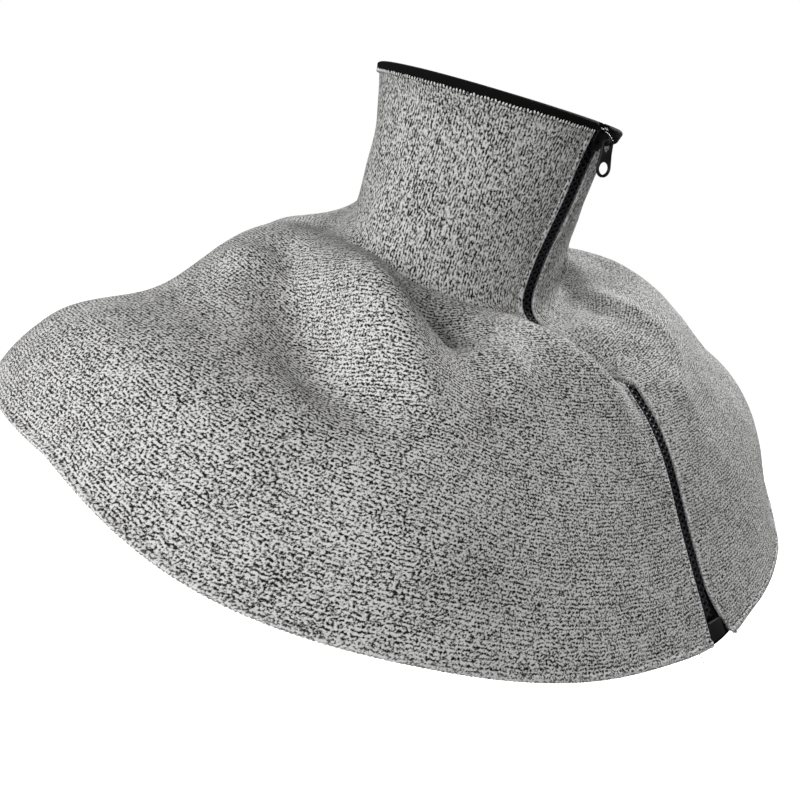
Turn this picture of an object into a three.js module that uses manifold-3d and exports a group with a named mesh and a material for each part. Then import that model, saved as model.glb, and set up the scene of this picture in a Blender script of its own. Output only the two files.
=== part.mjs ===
// Knitted neck guard: a tall collar that flows without a seam into a shoulder cape, closed over
// its whole length by a front zip. Millimetres, +Z up, front towards -Y, +X the wearer's left.
// The origin is the middle of the neck at the height of the collar root.
import * as THREE from 'three';
import { mergeVertices } from 'three/addons/utils/BufferGeometryUtils.js';
import Module from 'manifold-3d';

// Knit wall, and half the width of its slit
const WALL = 2.2;
const SLIT_HALF = 5.0;

// At the hem the left edge turns away from the zip, and the two corners end higher and lower
const PARTING = { from: 6.4, left: 15 };
const CORNERS = { from: 6, reach: 0.12, right: 0.058, left: 0.1 };

// Facets of the knit
const COLUMNS = 68;
const ROWS = 28;
const FRONT_CROWDING = 0.45;

// Folds: their reach is drawn on the smooth body, and they die out beside the zip
const FOLD_STEPS = 16;
const ZIP_CALM = { from: 3, to: 26 };

// Binding folded over the rim
const BINDING = { thick: 1.1, gap: 0.35, drop: 3.3 };

// Zip: tops and bottoms are section numbers, counted down from the rim
const ZIP = { top: 0.19, bottom: 6.98, tapeInner: 0.3, tapeOuter: 13, tapeGap: 0.6, tapeThick: 0.7 };
const TEETH = { inner: 0.15, outer: 3.1, sunk: 0.2, back: 2.5, bottom: 6.8 };
const END_BOX = { section: 6.93, aside: 3.1, wide: 14, tall: 9, front: 0.5, back: 2.4, corner: 1.2 };
const SLIDER = { section: 0.22, long: 11.5, topHalf: 4.6, footHalf: 3.2, plateLow: 0.8, plateHigh: 2.2 };
const FLANGE = { inner: 3.5, outer: 4.6, low: -1.6, long: 9.6 };
const ARCH = { along: 1.4, halfSpan: 2.5, rise: 6.1, wire: 1.1, wide: 1.7 };
const HINGE = { along: 1.4, out: 6.5, yawDeg: 16 };
const PULL = { bar: 0.7, thick: 1.4, topHalf: 3.6, window: 2.2, windowFoot: 5.0 };
const RING = { centre: 13.2, halfWide: 4.5, halfTall: 4.5, holeWide: 3.2, holeTall: 3 };

// Sections from rim to hem: reach to the front, back and side, heights there, how far the right
// side stands above and the left below that height, how much lower the knit sags between front and
// side, and squareness (2 is an ellipse)
const SECTIONS = table(
  ['name', 'front', 'back', 'side', 'frontZ', 'sideZ', 'backZ', 'lean', 'sag', 'square'],
  ['rim', 87, 45, 68, 60, 70, 80, 4, 0, 2],
  ['collar', 77, 49, 63, 30, 51, 64, 2, 0, 2],
  ['root', 60, 51, 72, -34, -8, 36, 0, 0, 2],
  ['flare', 93, 75, 93, -44, -10, 2, 0, 0, 2],
  ['yoke', 127, 98, 135, -56, -17, -25, 0, 0, 2.1],
  ['shoulder', 152, 119, 178, -89, -42, -60, 0, 1, 2.15],
  ['upper_arm', 173, 138, 223, -129, -54, -90, 0, 5, 2.25],
  ['hem', 197, 151, 256, -173, -93, -112, 0, 11, 2.25],
);

// Folds, each a ridge (height above zero) or a hollow drawn from one place on the body to another.
// Angles run from the front towards the wearer's right, in degrees; sections count down from the rim.
const FOLDS = table(
  ['name', 'angle', 'section', 'toAngle', 'toSection', 'width', 'height'],
  ['shoulder_ridge', 78, 3.45, 45, 5.05, 16, 12],
  ['collarbone_hollow', 62, 3.2, 41, 4, 15, -14],
  ['arm_hollow', 95, 3.95, 59, 5.2, 17, -13],
  ['neck_hump', 108, 4.3, 92, 4.1, 12, 4],
  ['neck_crease', 98, 3.7, 86, 4.1, 8, -4.5],
  ['nape_corner', 100, 2.62, 172, 2.62, 17, -15],
  ['nape_waist', 112, 1.5, 170, 1.5, 22, -5],
  ['right_arm_end', 106, 6.7, 152, 6.9, 34, 9],
  ['chest_ridge', 37, 3.9, 33, 4.6, 11, 6],
  ['chest_hollow', 47, 3.9, 43, 4.5, 11, -4],
  ['chest_corner', 45, 5.2, 41, 6.75, 32, 6],
  ['zip_sink', 0, 2.7, 0, 4.15, 19, -16],
  ['zip_crest', 32, 2.9, 7, 4.55, 14, 6.5],
  ['left_root_hollow', -40, 2.7, -33, 3.1, 14, -4],
  ['left_ridge', -48, 2.85, -22, 4.15, 9, 6],
  ['left_zip_hollow', -15, 3.5, -9, 4.0, 10, -3],
  ['left_zip_ridge', -16, 4.2, -12, 4.8, 12, 3],
  ['left_shoulder_ridge', -94, 3.6, -56, 5.1, 20, 6],
  ['left_arm_hollow', -106, 4.7, -72, 5.6, 24, -6],
  ['left_hem_pull', -26, 6.85, -62, 7.0, 28, -9],
  ['back_ridge', 148, 3.3, 162, 4.9, 20, 5],
  ['back_hollow', 200, 3.2, 190, 4.9, 22, -5],
);

const KNIT = finish('knit', 0x9a9a9a, 0.95, 0);
const TAPE = finish('tape', 0x141416, 0.85, 0);
const COIL = finish('coil', 0x17161c, 0.5, 0);
const ENAMEL = finish('enamel', 0x1c1c1e, 0.4, 0.3);

const FULL_TURN = 2 * Math.PI;
const SAG_PEAK = 4.2;
const LAST_SECTION = SECTIONS.length - 1;
const HEIGHT_STEP = LAST_SECTION / ROWS;

const wasm = await Module();
wasm.setup();

// Rows of a table as objects, keyed by the column names in its first row
function table(columns, ...rows) {
  return rows.map((row) => Object.fromEntries(columns.map((column, i) => [column, row[i]])));
}

function finish(name, color, roughness, metalness) {
  return new THREE.MeshStandardMaterial({ name, color, roughness, metalness });
}

// Smooth curve through four values, at a fraction between the middle two
function blend(a, b, c, d, t) {
  const bend = (2 * a - 5 * b + 4 * c - d) * t * t;
  const twist = (3 * b - a - 3 * c + d) * t * t * t;
  return b + 0.5 * ((c - a) * t + bend + twist);
}

// One column of the section table at a fractional section number
function columnAt(column, section) {
  const low = Math.min(Math.max(Math.floor(section), 0), LAST_SECTION - 1);
  const at = (i) => SECTIONS[i][column];
  const before = low > 0 ? at(low - 1) : 2 * at(0) - at(1);
  const after = low + 2 <= LAST_SECTION ? at(low + 2) : 2 * at(LAST_SECTION) - at(LAST_SECTION - 1);
  return blend(before, at(low), at(low + 1), after, section - low);
}

const signedPower = (value, power) => Math.sign(value) * Math.abs(value) ** power;

// Point on the smooth body, before folds
function smoothPoint(angle, section) {
  const front = columnAt('front', section);
  const back = columnAt('back', section);
  const frontZ = columnAt('frontZ', section);
  const sideZ = columnAt('sideZ', section);
  const backZ = columnAt('backZ', section);
  const power = 2 / columnAt('square', section);
  const c = Math.cos(angle);
  const along = signedPower(c, power);
  const across = signedPower(Math.sin(angle), power);
  const x = -columnAt('side', section) * across;
  const y = -((front + back) / 2) * along - (front - back) / 2;
  const level = sideZ + columnAt('lean', section) * Math.sin(angle);
  const rise = level + ((frontZ - backZ) / 2) * c + ((frontZ + backZ) / 2 - sideZ) * c * c;
  const z = rise - columnAt('sag', section) * SAG_PEAK * Math.max(c, 0) * Math.sin(angle) ** 6;
  return new THREE.Vector3(x, y, z);
}

// Outward direction of the smooth body
function outward(angle, section) {
  const turn = 0.01;
  const drop = 0.02;
  const around = smoothPoint(angle + turn, section).sub(smoothPoint(angle - turn, section));
  const down = smoothPoint(angle, section + drop).sub(smoothPoint(angle, section - drop));
  return around.cross(down).normalize();
}

const foldPaths = FOLDS.map((fold) => {
  const points = [];
  for (let i = 0; i <= FOLD_STEPS; i += 1) {
    const t = i / FOLD_STEPS;
    const angle = THREE.MathUtils.degToRad(fold.angle + (fold.toAngle - fold.angle) * t);
    points.push(smoothPoint(angle, fold.section + (fold.toSection - fold.section) * t));
  }
  return { ...fold, points };
});

// How far the folds lift the knit off the smooth body at a point
function foldLift(point) {
  const closest = new THREE.Vector3();
  const span = new THREE.Line3();
  const calm = point.y < 0 ? THREE.MathUtils.smoothstep(Math.abs(point.x), ZIP_CALM.from, ZIP_CALM.to) : 1;
  let lift = 0;
  for (const fold of foldPaths) {
    let nearest = Infinity;
    let along = 0;
    for (let i = 0; i < FOLD_STEPS; i += 1) {
      span.set(fold.points[i], fold.points[i + 1]);
      const t = span.closestPointToPointParameter(point, true);
      const distance = span.at(t, closest).distanceTo(point);
      if (distance < nearest) {
        nearest = distance;
        along = (i + t) / FOLD_STEPS;
      }
    }
    const taper = Math.sin(Math.PI * (0.1 + 0.8 * along));
    const share = fold.name === 'zip_sink' ? 1 : calm;
    lift += share * fold.height * taper * Math.exp(-((nearest / fold.width) ** 2));
  }
  return lift;
}

// Point on the folded body, moved out (or in, below zero) by an offset
function bodyPoint(angle, section, offset) {
  const point = smoothPoint(angle, section);
  return point.addScaledVector(outward(angle, section), foldLift(point) + offset);
}

// Angle at which the front of a section lies a distance from the middle plane; below zero on the left
function angleAtX(distance, section) {
  const share = Math.abs(distance) / columnAt('side', section);
  return Math.sign(distance) * Math.asin(share ** (columnAt('square', section) / 2));
}

// How far the left edge of the slit has turned away from the zip
function parting(section) {
  const share = Math.max(section - PARTING.from, 0) / (LAST_SECTION - PARTING.from);
  return PARTING.left * share * share;
}

// Angle of one column of facets, crowded towards the front
function columnAngle(column, section) {
  const even = (FULL_TURN * column) / COLUMNS;
  const crowded = even - FRONT_CROWDING * Math.sin(even);
  const right = angleAtX(SLIT_HALF, section);
  const left = FULL_TURN - angleAtX(SLIT_HALF + parting(section), section);
  return right + ((left - right) * crowded) / FULL_TURN;
}

// Section number with the two hem corners beside the zip taken up or let down
function cornered(angle, section) {
  const ramp = Math.max(section - CORNERS.from, 0) ** 2;
  const right = CORNERS.right * Math.exp(-((angle / CORNERS.reach) ** 2));
  const left = CORNERS.left * Math.exp(-(((FULL_TURN - angle) / CORNERS.reach) ** 2));
  return section + ramp * (right + left);
}

// Closed band of facets swept through cross-sections, each a row of outer and a row of inner points
function sweptWall(sections) {
  const pairs = sections[0].outer.length;
  const loop = 2 * pairs;
  const positions = [];
  const index = [];
  for (const { outer, inner } of sections) {
    for (const point of [...outer, ...inner.slice().reverse()]) positions.push(...point.toArray());
  }
  const quad = (a, b, c, d) => index.push(a, b, c, a, c, d);
  for (let i = 0; i + 1 < sections.length; i += 1) {
    for (let k = 0; k < loop; k += 1) {
      const next = (k + 1) % loop;
      quad(i * loop + k, i * loop + next, (i + 1) * loop + next, (i + 1) * loop + k);
    }
  }
  const end = (sections.length - 1) * loop;
  for (let k = 0; k + 1 < pairs; k += 1) {
    quad(k, loop - 1 - k, loop - 2 - k, k + 1);
    quad(end + k, end + k + 1, end + loop - 2 - k, end + loop - 1 - k);
  }
  const geometry = new THREE.BufferGeometry();
  geometry.setAttribute('position', new THREE.Float32BufferAttribute(positions, 3));
  geometry.setIndex(index);
  return facingOut(geometry);
}

// Turns every facet over if the surface encloses its volume the wrong way round
function facingOut(geometry) {
  const position = geometry.getAttribute('position');
  const index = geometry.getIndex();
  const [a, b, c] = [new THREE.Vector3(), new THREE.Vector3(), new THREE.Vector3()];
  let volume = 0;
  for (let i = 0; i < index.count; i += 3) {
    a.fromBufferAttribute(position, index.getX(i));
    b.fromBufferAttribute(position, index.getX(i + 1));
    c.fromBufferAttribute(position, index.getX(i + 2));
    volume += a.dot(b.cross(c)) / 6;
  }
  if (volume < 0) {
    for (let i = 0; i < index.count; i += 3) {
      const second = index.getX(i + 1);
      index.setX(i + 1, index.getX(i + 2));
      index.setX(i + 2, second);
    }
  }
  geometry.computeVertexNormals();
  return geometry;
}

function solidOf(geometry) {
  const bare = geometry.clone();
  bare.deleteAttribute('normal');
  bare.deleteAttribute('uv');
  const merged = mergeVertices(bare, 1e-3);
  const vertProperties = new Float32Array(merged.getAttribute('position').array);
  const triVerts = new Uint32Array(merged.getIndex().array);
  return new wasm.Manifold(new wasm.Mesh({ numProp: 3, vertProperties, triVerts }));
}

function geometryOf(solid) {
  const mesh = solid.getMesh();
  const geometry = new THREE.BufferGeometry();
  geometry.setAttribute('position', new THREE.Float32BufferAttribute(mesh.vertProperties, 3));
  geometry.setIndex([...mesh.triVerts]);
  geometry.computeVertexNormals();
  return geometry;
}

function node(name, geometry, material) {
  const mesh = new THREE.Mesh(geometry, material);
  mesh.name = name;
  return mesh;
}

// Frame on the zip line: x to the wearer's left, y up along the zip, z out of the knit
function zipFrame(section) {
  const out = outward(0, section);
  const up = out.clone().cross(new THREE.Vector3(1, 0, 0)).normalize();
  const left = up.clone().cross(out);
  const frame = new THREE.Matrix4().makeBasis(left, up, out);
  return frame.setPosition(bodyPoint(0, section, 0));
}

// Collar and cape, one knitted wall slit at the front
function knitBody() {
  const sections = [];
  for (let column = 0; column <= COLUMNS; column += 1) {
    const outer = [];
    const inner = [];
    for (let row = 0; row <= ROWS; row += 1) {
      const section = row * HEIGHT_STEP;
      const angle = columnAngle(column, section);
      const low = cornered(angle, section);
      outer.push(bodyPoint(angle, low, 0));
      inner.push(bodyPoint(angle, low, -WALL));
    }
    sections.push({ outer, inner });
  }
  return sweptWall(sections);
}

// Tape folded over the rim, from one knit edge at the zip round to the other
function collarBinding() {
  const { thick, gap, drop } = BINDING;
  const skin = gap + thick;
  const round = thick * 0.6;
  const outside = [
    [skin, -drop],
    [skin, gap + thick - round],
    [skin - round, skin],
    [-WALL - skin + round, skin],
    [-WALL - skin, gap + thick - round],
    [-WALL - skin, -drop],
  ];
  const inside = [
    [gap, -drop],
    [gap, 0],
    [gap * 0.5, gap],
    [-WALL - gap * 0.5, gap],
    [-WALL - gap, 0],
    [-WALL - gap, -drop],
  ];
  const sections = [];
  for (let column = 0; column <= COLUMNS; column += 1) {
    const angle = columnAngle(column, 0);
    const rim = bodyPoint(angle, 0, 0);
    const up = rim.clone().sub(bodyPoint(angle, HEIGHT_STEP, 0)).normalize();
    const out = outward(angle, 0);
    out.addScaledVector(up, -up.dot(out)).normalize();
    const place = ([o, u]) => rim.clone().addScaledVector(out, o).addScaledVector(up, u);
    sections.push({ outer: outside.map(place), inner: inside.map(place) });
  }
  return sweptWall(sections);
}

// Strip that follows the zip between two depths; xsAt gives its points' distances from the middle, and
// levelAt the section number where a point of its edge ends up
function zipStrip(xsAt, levelAt, front, back, top, bottom) {
  const stations = [top];
  for (let row = 0; row <= ROWS; row += 1) {
    const section = row * HEIGHT_STEP;
    if (section > top + 0.05 && section < bottom - 0.05) stations.push(section);
  }
  stations.push(bottom);
  const row = (section, depth) => xsAt(section).map((x) => {
    const angle = angleAtX(x, section);
    return bodyPoint(angle, levelAt(angle, section), depth);
  });
  const sections = stations.map((section) => ({ outer: row(section, front), inner: row(section, back) }));
  return sweptWall(sections);
}

function zipTape(side) {
  const { tapeInner, tapeOuter } = ZIP;
  const xsAt = (section) => {
    const outer = side < 0 ? tapeOuter + parting(section) : tapeOuter;
    return [0, 0.36, 0.7, 1].map((share) => side * (tapeInner + (outer - tapeInner) * share));
  };
  const levelAt = (angle, section) => cornered((angle + FULL_TURN) % FULL_TURN, section);
  const front = -WALL - ZIP.tapeGap;
  return zipStrip(xsAt, levelAt, front, front - ZIP.tapeThick, ZIP.top, ZIP.bottom);
}

function zipTeeth(side) {
  const xs = [TEETH.inner, TEETH.outer].map((x) => side * x);
  const levelAt = (angle, section) => section;
  return zipStrip(() => xs, levelAt, -TEETH.sunk, -TEETH.back, ZIP.top, TEETH.bottom);
}

// Block with rounded corners at the lower end of the zip
function endBox() {
  const { aside, wide, tall, front, back, corner } = END_BOX;
  const w = wide / 2 - corner;
  const h = tall / 2 - corner;
  const outline = new THREE.Shape();
  outline.absarc(w, h, corner, 0, Math.PI / 2);
  outline.absarc(-w, h, corner, Math.PI / 2, Math.PI);
  outline.absarc(-w, -h, corner, Math.PI, 1.5 * Math.PI);
  outline.absarc(w, -h, corner, 1.5 * Math.PI, FULL_TURN);
  const settings = { depth: front + back, bevelEnabled: false, curveSegments: 3 };
  return new THREE.ExtrudeGeometry(outline, settings).translate(aside, 0, -back);
}

// Slider: shield plate, two flanges beside the teeth and the arch that holds the pull
function slider() {
  const { long, topHalf, footHalf, plateLow, plateHigh } = SLIDER;
  const half = long / 2;
  const shield = new THREE.Shape();
  shield.moveTo(-footHalf, -half);
  shield.lineTo(footHalf, -half);
  shield.lineTo(topHalf, -half * 0.2);
  shield.lineTo(topHalf, half - 1.4);
  shield.lineTo(topHalf - 1.4, half);
  shield.lineTo(1.2, half);
  shield.lineTo(0, half - 1.2);
  shield.lineTo(-1.2, half);
  shield.lineTo(1.4 - topHalf, half);
  shield.lineTo(-topHalf, half - 1.4);
  shield.lineTo(-topHalf, -half * 0.2);
  shield.closePath();
  const plate = new THREE.ExtrudeGeometry(shield, { depth: plateHigh - plateLow, bevelEnabled: false });
  let body = solidOf(plate.translate(0, 0, plateLow));
  const flangeHigh = plateLow + 0.4;
  const flangeWide = FLANGE.outer - FLANGE.inner;
  for (const side of [-1, 1]) {
    const flange = new THREE.BoxGeometry(flangeWide, FLANGE.long * 0.6, flangeHigh - FLANGE.low);
    const x = (side * (FLANGE.inner + FLANGE.outer)) / 2;
    flange.translate(x, FLANGE.long * 0.12, (flangeHigh + FLANGE.low) / 2);
    body = body.add(solidOf(flange));
  }
  const outerSpan = ARCH.halfSpan + ARCH.wire;
  const bow = new THREE.Shape();
  bow.moveTo(outerSpan, -0.6);
  bow.lineTo(outerSpan, 0);
  bow.absellipse(0, 0, outerSpan, ARCH.rise + ARCH.wire, 0, Math.PI);
  bow.lineTo(-outerSpan, -0.6);
  bow.lineTo(-ARCH.halfSpan, -0.6);
  bow.absellipse(0, 0, ARCH.halfSpan, ARCH.rise, Math.PI, 0, true);
  bow.lineTo(ARCH.halfSpan, -0.6);
  bow.closePath();
  const arch = new THREE.ExtrudeGeometry(bow, { depth: ARCH.wide, bevelEnabled: false, curveSegments: 12 });
  arch.translate(0, 0, -ARCH.wide / 2);
  arch.applyMatrix4(new THREE.Matrix4().makeBasis(
    new THREE.Vector3(0, 1, 0),
    new THREE.Vector3(0, 0, 1),
    new THREE.Vector3(1, 0, 0),
  ));
  body = body.add(solidOf(arch.translate(0, ARCH.along, plateHigh)));
  return geometryOf(body);
}

// Pull in its own plane: x across, y up with the hinge bar at zero, z through its thickness
function pull() {
  const ring = -RING.centre;
  const waist = -PULL.windowFoot - 1.6;
  const outline = new THREE.Shape();
  outline.moveTo(-PULL.topHalf + 0.6, PULL.bar);
  outline.lineTo(PULL.topHalf - 0.6, PULL.bar);
  outline.lineTo(PULL.topHalf, PULL.bar - 0.6);
  outline.lineTo(PULL.topHalf + 0.1, waist);
  outline.lineTo(RING.halfWide, ring + 0.6);
  outline.absellipse(0, ring, RING.halfWide, RING.halfTall, 0, -Math.PI, true);
  outline.lineTo(-RING.halfWide, ring + 0.6);
  outline.lineTo(-PULL.topHalf - 0.1, waist);
  outline.lineTo(-PULL.topHalf, PULL.bar - 0.6);
  outline.closePath();
  const window = new THREE.Path();
  window.moveTo(-PULL.window, -PULL.bar);
  window.lineTo(-PULL.window, -PULL.windowFoot + 1.6);
  window.lineTo(-0.9, -PULL.windowFoot);
  window.lineTo(0.9, -PULL.windowFoot);
  window.lineTo(PULL.window, -PULL.windowFoot + 1.6);
  window.lineTo(PULL.window, -PULL.bar);
  window.closePath();
  const hole = new THREE.Path();
  hole.absellipse(0, ring, RING.holeWide, RING.holeTall, 0, FULL_TURN);
  outline.holes.push(window, hole);
  const settings = { depth: PULL.thick, bevelEnabled: false, curveSegments: 10 };
  return new THREE.ExtrudeGeometry(outline, settings).translate(0, 0, -PULL.thick / 2);
}

const guard = new THREE.Group();
guard.add(node('knit_body', knitBody(), KNIT));
guard.add(node('collar_binding', collarBinding(), TAPE));
guard.add(node('zip_tape_right', zipTape(1), TAPE));
guard.add(node('zip_tape_left', zipTape(-1), TAPE));
guard.add(node('zip_teeth_right', zipTeeth(1), COIL));
guard.add(node('zip_teeth_left', zipTeeth(-1), COIL));

const zipFoot = new THREE.Group();
zipFoot.applyMatrix4(zipFrame(END_BOX.section));
zipFoot.add(node('zip_end_box', endBox(), ENAMEL));
guard.add(zipFoot);

const zipHead = new THREE.Group();
const headFrame = zipFrame(SLIDER.section);
zipHead.applyMatrix4(headFrame);
zipHead.add(node('zip_slider', slider(), ENAMEL));
guard.add(zipHead);

// The pull hangs straight down from its bar, turned a little towards the wearer's right
const hanging = new THREE.Group();
hanging.position.set(0, HINGE.along, HINGE.out).applyMatrix4(headFrame);
hanging.rotation.set(Math.PI / 2, 0, -THREE.MathUtils.degToRad(HINGE.yawDeg), 'ZYX');
hanging.add(node('zip_pull', pull(), ENAMEL));
guard.add(hanging);

export default guard;
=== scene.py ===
"""Dressed model of a knitted neck guard: melange collar and cape, bound rim and front zip."""

import logging
import math
from dataclasses import dataclass, field, fields
from enum import Enum
from typing import Callable, Iterable, Sequence

import bmesh
import bpy
import numpy as np
from mathutils import Matrix, Vector, noise

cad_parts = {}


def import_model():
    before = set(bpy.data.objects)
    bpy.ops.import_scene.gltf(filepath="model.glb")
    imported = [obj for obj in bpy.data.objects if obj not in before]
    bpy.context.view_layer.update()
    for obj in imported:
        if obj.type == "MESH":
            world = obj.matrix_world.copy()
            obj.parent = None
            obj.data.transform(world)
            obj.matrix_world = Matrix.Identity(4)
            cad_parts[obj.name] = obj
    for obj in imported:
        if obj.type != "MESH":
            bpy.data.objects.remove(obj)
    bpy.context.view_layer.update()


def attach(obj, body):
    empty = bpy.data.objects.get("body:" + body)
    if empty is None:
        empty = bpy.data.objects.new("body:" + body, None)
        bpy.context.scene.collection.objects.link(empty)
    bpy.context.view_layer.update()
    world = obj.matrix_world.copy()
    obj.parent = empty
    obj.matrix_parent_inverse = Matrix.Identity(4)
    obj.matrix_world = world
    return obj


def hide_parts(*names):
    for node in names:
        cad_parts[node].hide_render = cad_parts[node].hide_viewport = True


LOG = logging.getLogger("neck_guard")

MM = 0.001
TURN = 2.0 * math.pi
WEAVE = "weave"
UP = Vector((0, 0, 1))
WELD = 1e-6
SHARP = math.radians(55)

Colour = tuple[float, float, float, float]
Triple = tuple[float, float, float]
Place = Callable[[np.ndarray, np.ndarray], tuple[np.ndarray, np.ndarray]]


class Side(Enum):
    """Half of the zip, as the sign of its distance from the middle plane."""

    RIGHT = 1
    LEFT = -1


class Body(str, Enum):
    """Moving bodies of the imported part."""

    GUARD = "guard"
    PULL = "pull"


class Slot(str, Enum):
    """Material slots of the record."""

    KNIT = "knit"
    BINDING = "binding"
    TAPE = "zip_tape"
    COIL = "zip_coil"
    METAL = "zip_metal"


class Sock:
    """Output socket of a node, with arithmetic that adds Math nodes."""

    def __init__(self, kit: "ShaderKit", socket: bpy.types.NodeSocket) -> None:
        self.kit = kit
        self.socket = socket

    def other(self, name: str) -> "Sock":
        """Another output of the same node."""
        return Sock(self.kit, self.socket.node.outputs[name])

    def __add__(self, value: "Sock | float") -> "Sock":
        """Sum."""
        return self.kit.math("ADD", self, value)

    def __radd__(self, value: float) -> "Sock":
        """Sum, value first."""
        return self.kit.math("ADD", value, self)

    def __sub__(self, value: "Sock | float") -> "Sock":
        """Difference."""
        return self.kit.math("SUBTRACT", self, value)

    def __rsub__(self, value: float) -> "Sock":
        """Difference, value first."""
        return self.kit.math("SUBTRACT", value, self)

    def __mul__(self, value: "Sock | float") -> "Sock":
        """Product."""
        return self.kit.math("MULTIPLY", self, value)

    def __truediv__(self, value: "Sock | float") -> "Sock":
        """Quotient."""
        return self.kit.math("DIVIDE", self, value)


class ShaderKit:
    """One node tree and the few ways to add to it."""

    def __init__(self, name: str, world: bool = False) -> None:
        """Starts a material, or a world, with an empty tree.

        Args:
            name: Name of the material or world.
            world: Makes a world instead of a material.
        """
        self.block = bpy.data.worlds.new(name) if world else bpy.data.materials.new(name)
        self.block.use_nodes = True
        self.tree = self.block.node_tree
        self.tree.nodes.clear()

    def node(
        self,
        kind: str,
        settings: dict | None = None,
        inputs: dict | None = None,
        output: int | str = 0,
    ) -> Sock:
        """Adds a node.

        Args:
            kind: Node type, such as ShaderNodeTexNoise.
            settings: Properties set first; "stops" fills a colour ramp.
            inputs: Values or links, by socket name or number.
            output: Name or number of the output that is handed back.

        Returns:
            The chosen output.
        """
        made = self.tree.nodes.new(kind)
        for key, value in (settings or {}).items():
            if key == "stops":
                self._fill_ramp(made.color_ramp, value)
            else:
                setattr(made, key, value)
        for key, value in (inputs or {}).items():
            if isinstance(value, Sock):
                self.tree.links.new(value.socket, made.inputs[key])
            else:
                made.inputs[key].default_value = value
        return Sock(self, made.outputs[output])

    @staticmethod
    def _fill_ramp(ramp: bpy.types.ColorRamp, stops: Sequence[tuple[float, float]]) -> None:
        """Sets a grey ramp's stops.

        Args:
            ramp: Ramp of a Color Ramp node.
            stops: Position and grey level of each stop.
        """
        for index, (position, level) in enumerate(stops):
            stop = ramp.elements[index] if index < 2 else ramp.elements.new(position)
            stop.position = position
            stop.color = (level, level, level, 1.0)

    def math(self, operation: str, first: Sock | float, second: Sock | float = 0.0) -> Sock:
        """Adds one Math node.

        Args:
            operation: Math node operation.
            first: First value.
            second: Second value.

        Returns:
            The result.
        """
        return self.node("ShaderNodeMath", {"operation": operation}, {0: first, 1: second})

    def place(self) -> Sock:
        """Object coordinates."""
        return self.node("ShaderNodeTexCoord", output="Object")

    def weave(self) -> tuple[Sock, Sock]:
        """The piece's own weave coordinates.

        Returns:
            Coordinate along or round the piece, and the one across or down it.
        """
        pair = self.node("ShaderNodeUVMap", {"uv_map": WEAVE})
        first = self.node("ShaderNodeSeparateXYZ", inputs={0: pair})
        return first, first.other("Y")

    def grain(self, vector: Sock, scale: float, detail: float = 1.0, rough: float = 0.5) -> Sock:
        """Noise value.

        Args:
            vector: Where it is read.
            scale: Cells to a unit of the vector.
            detail: Extra octaves.
            rough: Share of the finer octaves.

        Returns:
            Noise from 0 to 1.
        """
        values = {"Vector": vector, "Scale": scale, "Detail": detail, "Roughness": rough}
        return self.node("ShaderNodeTexNoise", {"noise_dimensions": "3D"}, values, "Fac")

    def ease(self, value: Sock, low: float, high: float) -> Sock:
        """Smooth step from 0 at low to 1 at high."""
        settings = {"interpolation_type": "SMOOTHSTEP"}
        return self.node("ShaderNodeMapRange", settings, {0: value, 1: low, 2: high})

    def mix(self, factor: Sock | float, first: Sock | Colour, second: Sock | Colour) -> Sock:
        """Colour between two colours."""
        settings = {"data_type": "RGBA"}
        return self.node("ShaderNodeMix", settings, {0: factor, 6: first, 7: second}, 2)

    def bump(self, height: Sock, strength: float, reach: float) -> Sock:
        """Normal raised by a height.

        Args:
            height: Height from 0 to 1.
            strength: Strength of the effect.
            reach: Metres that a height of 1 stands for.

        Returns:
            The bent normal.
        """
        values = {"Strength": strength, "Distance": reach, "Height": height}
        return self.node("ShaderNodeBump", None, values)

    def finish(self, **inputs: "Sock | float | Colour") -> bpy.types.Material:
        """Closes the tree with a principled surface.

        Args:
            **inputs: Socket names with _ for spaces.

        Returns:
            The material.
        """
        values = {key.replace("_", " "): value for key, value in inputs.items()}
        surface = self.node("ShaderNodeBsdfPrincipled", None, values)
        return self.close("ShaderNodeOutputMaterial", surface)

    def close(self, kind: str, surface: Sock) -> bpy.types.ID:
        """Links a surface to an output node.

        Args:
            kind: Type of the output node.
            surface: What it shows.

        Returns:
            The material or world.
        """
        out = self.tree.nodes.new(kind)
        self.tree.links.new(surface.socket, out.inputs["Surface"])
        return self.block


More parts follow.
